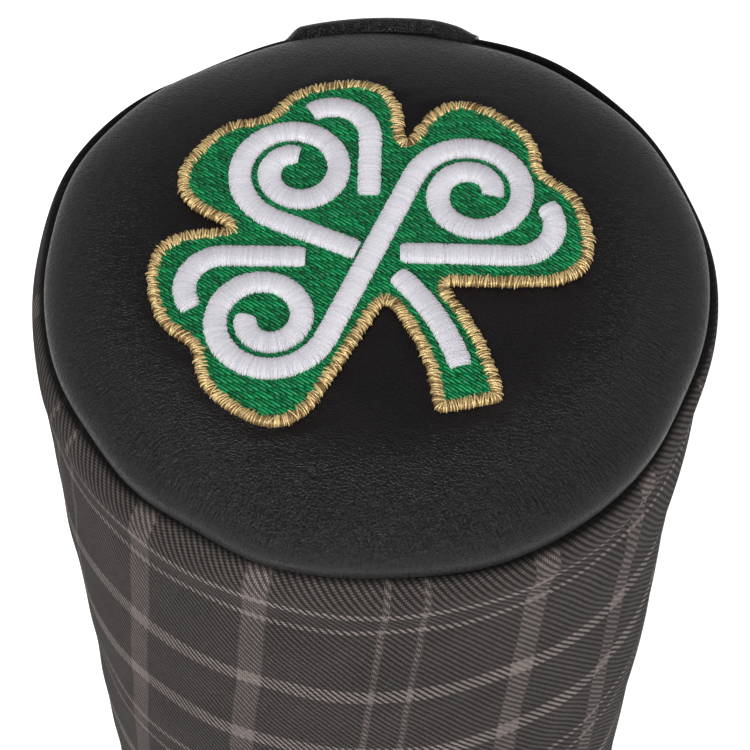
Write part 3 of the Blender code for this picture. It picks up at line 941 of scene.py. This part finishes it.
def green_fill(look):
    """Rows of short stitches, each row started a little further along than the one before."""
    edge = OUTLINE + side_of(OUTLINE, True) * BORDER_WIDTH * 0.55
    spacing, half, length = 0.00060, 0.00030, 0.0030
    spans, along, aside = scan_spans(edge, radians(-33), spacing)
    chance = np.random.default_rng(71)
    share = np.array((0.0, 0.16, 0.5, 0.84, 1.0))
    strands, base_points, base_faces = [], [], []
    for offset, start, end in spans:
        row = round(offset / spacing)
        first = (row % 4) * length / 4 + (row % 7) * 0.0002
        before = math.floor((start - first) / length) * length + first
        cuts = np.arange(before, end + length, length)
        cuts = np.unique(np.clip(cuts + chance.uniform(-0.0002, 0.0002, len(cuts)), start, end))
        cuts = cuts[np.concatenate([[True], np.diff(cuts) > 0.0006])]
        for a, b in zip(cuts[:-1], cuts[1:]):
            drift = chance.uniform(-0.00002, 0.00002)
            strands.append([(a + (b - a) * t, offset + drift) for t in share])
        steps = np.linspace(start, end, max(2, int((end - start) / 0.004) + 2))
        for a, b in zip(steps[:-1], steps[1:]):
            base_faces.append([len(base_points) + k for k in range(4)])
            low, high = offset - half, offset + half
            base_points += [(a, low), (b, low), (b, high), (a, high)]
    strands, flat = np.array(strands), np.array(base_points)
    plan = strands[..., :1] * along + strands[..., 1:] * aside
    lift = 0.00078 + np.array((-0.00022, 0.00002, 0.00006, 0.00002, -0.00022))
    lift = lift[None] + chance.uniform(-0.00004, 0.00004, (len(strands), 1))
    paths = on_crown(plan, lift)
    points, faces = tube_arrays(paths, UP, spacing * 0.41, 0.00028, 6)
    tone = np.repeat(chance.uniform(0.1, 1.0, len(strands)), 5 * 6)
    # The sheet under the rows takes tone 0, the darkest green: where it shows between the stitches
    # it is painted shade.
    base = on_crown(flat[:, :1] * along + flat[:, 1:] * aside, 0.00070)
    whole = joined((points, faces, tone), (base, np.array(base_faces), 0.0))
    embroidered("green_fill", whole, look, "shamrock_fill")


def embroidered(name, whole, look, node):
    """One piece of embroidery, from its joined points, faces and tones."""
    points, faces, tones = whole
    piece = mesh_object(name, points, faces, look, tone=tones)
    attach(piece, node)


def arch(path, side, half_width, low, high, count, power=(0.9, 0.8)):
    """Points over a raised band, across it at each place of a path."""
    turn = np.linspace(pi, 0, count)
    reach = np.sign(np.cos(turn)) * np.abs(np.cos(turn)) ** power[0]
    rise = np.abs(np.sin(turn)) ** power[1]
    plan = path[:, None] + side[:, None] * (reach[None] * half_width[:, None])[..., None]
    return plan, low + (high - low) * rise[None]


def leaned(side, lean):
    """The stitches' direction across a path, leaned along it."""
    tangent = np.column_stack([side[:, 1], -side[:, 0]])
    return unit(side + tangent * lean[:, None])


def gold_border(look):
    """Metallic satin stitches across the clover's edge, a little uneven at both sides."""
    middle = resampled(OUTLINE + side_of(OUTLINE, True) * BORDER_WIDTH / 2, 0.00025)
    side = side_of(eased(middle, 10), True)
    chance = np.random.default_rng(81)
    count = len(middle)
    across = leaned(side, chance.normal(0, 0.20, count) + 0.20)
    half = BORDER_WIDTH / 2 + chance.uniform(-0.00022, 0.00032, count)
    shift = chance.normal(0, 0.00010, count)
    plan, rise = arch(middle + side * shift[:, None], across, half, 0.00035, 0.00128, 7)
    # Every other stitch is painted light and the rest dark, a few swapped at random: painted glints
    # and painted shade on one gold thread.
    bright = (np.arange(count) % 2 == 0) ^ (chance.random(count) < 0.15)
    rise = rise + (chance.uniform(-0.00004, 0.00008, count) + 0.00005 * bright)[:, None]
    points, faces = tube_arrays(on_crown(plan, rise), UP, 0.00011 + 0.00005 * bright, 0.00013, 5)
    tone = np.repeat(np.where(bright, 0.75, 0.1) + chance.uniform(-0.1, 0.25, count), 7 * 5)
    # A strip under the stitches at tone 0, the darkest gold: it fills the border under them, and
    # where it shows between the stitches it is painted shade.
    coarse = resampled(middle, 0.0006)
    width = np.full(len(coarse), BORDER_WIDTH / 2 * 0.93)
    plan, rise = arch(coarse, side_of(eased(coarse, 6), True), width, 0.00020, 0.00112, 9)
    base = on_crown(plan, np.broadcast_to(rise, plan.shape[:2]))
    base_faces = grid_faces(len(coarse), 9, True)
    whole = joined((points, faces, tone), (base.reshape(-1, 3), base_faces, 0.0))
    embroidered("gold_border", whole, look, "shamrock_border")


def cord_paths():
    """The middle line of each white cord, by the name of its CAD node."""
    one_end, other_end = (turned_by(scroll_path(0.0), TILT + turn) for turn in (0, pi))
    return {
        "long_scroll_cord": np.vstack([other_end[:0:-1], one_end]),
        "upper_scroll_cord": turned_by(scroll_path(0.0027), TILT + pi / 2),
        "hook_cord_right": turned_by(hook_path(0.0), TILT),
        "hook_cord_upper": turned_by(hook_path(0.008), TILT + pi / 2),
        "hook_cord_lower": turned_by(hook_path(0.0065), TILT + pi),
        "stem_cord": np.array([stem_point(0.0065 + 0.0225 * i / 24) for i in range(25)]),
    }


def white_cord(node, path, seed, look):
    """Satin stitches packed side by side over a raised, rounded core."""
    chance = np.random.default_rng(seed)
    spacing = 0.00022
    middle = eased_open(resampled(path, spacing, closed=False), 12)
    side = side_of(middle)
    count = len(middle)
    ends = np.minimum(np.arange(count), np.arange(count)[::-1]) * spacing
    full = 0.80 + 0.20 * np.sqrt(np.clip(ends / 0.0012, 0, 1))
    across = leaned(side, chance.normal(0, 0.015, count))
    half = (CORD_WIDTH / 2 + chance.uniform(-0.00008, 0.00016, count)) * full
    plan, rise = arch(middle, across, half, 0.00072, 0.00226, 11, (0.85, 0.65))
    rise = 0.00072 + (rise - 0.00072) * full[:, None]
    rise = rise + chance.uniform(-0.00001, 0.00001, (count, 1))
    points, faces = tube_arrays(on_crown(plan, rise), UP, 0.00014, 0.00010, 5)
    # The stitches are painted lighter towards both edges of the cord: a painted highlight, as sheen
    # on the cord's sloping sides.
    edge_highlight = np.abs(np.linspace(-1, 1, 11))[None] ** 5
    tone = np.repeat((chance.uniform(0.2, 0.5, (count, 1)) + 0.6 * edge_highlight).ravel(), 5)
    coarse = middle[::2]
    inner = CORD_WIDTH / 2 * 0.95 * full[::2]
    plan, rise = arch(coarse, side_of(coarse), inner, 0.00060, 0.00218, 11, (0.85, 0.65))
    rise = 0.0006 + (rise - 0.0006) * full[::2, None]
    base = on_crown(plan, rise)
    base = np.concatenate([base[:1] * [1, 1, 0] + [0, 0, base[0, 0, 2]], base,
                           base[-1:] * [1, 1, 0] + [0, 0, base[-1, 0, 2]]])
    base_faces = grid_faces(len(base), 11, False)
    whole = joined((points, faces, tone), (base.reshape(-1, 3), base_faces, 0.15))
    embroidered(node + "_satin", whole, look, node)


# Scene


def finish_cad_nodes():
    """Procedural materials for the layers that stay as the CAD made them."""
    fleece = cloth_look("backing_fleece", (0.010, 0.010, 0.011), (0.030, 0.030, 0.031), 1400, 0.0006,
                        Roughness=1.0, Sheen_Weight=0.5)
    ribbed = cloth_look("ribbed_tape", (0.010, 0.010, 0.010), (0.028, 0.028, 0.028), 2200, 0.00015,
                        Roughness=0.85)
    looks = {"crown_backing": fleece, "crown_seam_tape": ribbed, "neck_elastic": ribbed,
             "elastic_casing": ribbed}
    for name, look in looks.items():
        for slot in frame["nodes"][name].material_slots:
            slot.material = look


def area_light(name, place, size, power):
    """A soft box that faces the middle of the crown."""
    data = bpy.data.lights.new(name, "AREA")
    data.shape = "RECTANGLE"
    data.size, data.size_y = size
    data.energy = power
    light = new_object(name, data)
    light.location = place
    aim = Vector((0, 0, SEAM_Z)) - Vector(place)
    light.rotation_euler = aim.to_track_quat("-Z", "Y").to_euler()


def studio():
    """Soft boxes of light, a dim world and the pale floor."""
    world = bpy.data.worlds.new("studio")
    world.use_nodes = True
    background = world.node_tree.nodes["Background"]
    background.inputs["Color"].default_value = (1.0, 0.97, 1.0, 1)
    background.inputs["Strength"].default_value = 0.14
    bpy.context.scene.world = world
    area_light("key_box", (-0.3, -0.78, 1.35), (0.8, 0.45), 14.5)
    area_light("front_box", (-0.2, -1.3, 0.8), (1.2, 0.6), 4.5)
    area_light("back_box", (0.1, 1.3, 0.58), (1.3, 0.5), 1.5)
    area_light("left_box", (-1.2, -0.2, 0.75), (0.8, 0.8), 2)
    area_light("right_box", (1.1, -0.6, 0.7), (0.8, 0.8), 6.5)

    span = 3.0
    corners = [(-span, -span, 0), (span, -span, 0), (span, span, 0), (-span, span, 0)]
    mesh_object("floor", corners, [[0, 1, 2, 3]], floor_look())


def floor_look():
    """Pale, with a painted glow that is brightest near the cover, so that the main view's background
    is white.
    """
    look, tree, shader = new_look("pale_floor", Roughness=0.9, Specular_IOR_Level=0.1,
                                  Emission_Color=(1, 1, 1, 1))
    place = object_place(tree)
    soft = noise(tree, place, 2.0, 2)
    off = vectors(tree, "DISTANCE", place, (0, 0.15, 0))["Value"]
    glow = add(tree, "MapRange", {0: off, 1: 0.18, 2: 0.38, 3: 0.75, 4: 0.25},
               interpolation_type="SMOOTHSTEP")
    tree.links.new(glow.outputs[0], shader.inputs["Emission Strength"])
    tree.links.new(ramp(tree, soft, [(0.3, (0.86, 0.86, 0.86)), (0.7, (0.88, 0.88, 0.88))]),
                   shader.inputs["Base Color"])
    return look


def camera():
    elevation, distance = radians(59.0), 0.632
    target = Vector((0.00096, 0.0, SEAM_Z - 0.0362))
    data = bpy.data.cameras.new("camera")
    data.lens, data.sensor_width = 157.4, 36.0
    data.clip_start, data.clip_end = 0.01, 20
    view = new_object("camera", data)
    away = Vector((0, -math.cos(elevation), math.sin(elevation)))
    view.location = target + distance * away
    view.rotation_euler = (target - view.location).to_track_quat("-Z", "Y").to_euler()
    view.rotation_euler.rotate_axis("Z", radians(0.5))
    bpy.context.scene.camera = view


def build():
    foam = cloth_look("foam_cells", (0.16, 0.15, 0.14), (0.30, 0.29, 0.27), 2600, 0.0002,
                      Roughness=0.95)
    felt = cloth_look("felted_backing", (0.42, 0.42, 0.41), (0.62, 0.62, 0.60), 3000, 0.00008,
                      Roughness=0.95)
    crown_padding(foam, felt)
    barrel_padding(foam)
    crown_cover(leather_look("black_leather", rim=True))
    panel_leather = leather_look("panel_leather")
    plaid_barrel(plaid_look())
    rear_leather(panel_leather)
    hem_binding(panel_leather)
    fleece = cloth_look("soft_fleece", (0.010, 0.010, 0.011), (0.032, 0.032, 0.033), 1300, 0.0006,
                        Roughness=1.0, Sheen_Weight=0.6, Sheen_Roughness=0.4)
    fleece_lining(fleece)
    sewing = thread_look("sewing_thread", (0.012, 0.012, 0.012), (0.055, 0.053, 0.053), 4000,
                         Roughness=0.6, Sheen_Weight=0.2)
    seam_stitches(sewing)
    care_label(cloth_look("label_satin", (0.50, 0.50, 0.50), (0.66, 0.66, 0.65), 5000, 0.00003,
                          Roughness=0.45, Sheen_Weight=0.2))
    green = thread_look("green_thread", (0.000, 0.020, 0.006), (0.002, 0.350, 0.105), 2000, 0.45,
                        Roughness=0.38, Specular_IOR_Level=0.35)
    gold = thread_look("gold_thread", (0.12, 0.050, 0.006), (1.0, 0.76, 0.36), 2400, 0.25,
                       Roughness=0.32, Metallic=0.3)
    white = thread_look("white_thread", (0.50, 0.485, 0.545), (0.97, 0.955, 0.98), 2600,
                        Roughness=0.5, Sheen_Weight=0.1)
    green_fill(green)
    gold_border(gold)
    for seed, (node, path) in enumerate(cord_paths().items()):
        white_cord(node, path, 90 + seed, white)
    finish_cad_nodes()


def main():
    for obj in list(bpy.context.scene.objects):
        if obj.name == "Cube" or obj.type in ("LIGHT", "CAMERA"):
            bpy.data.objects.remove(obj)
    build()
    studio()
    camera()
    bpy.context.scene.view_settings.view_transform = "Standard"


main()
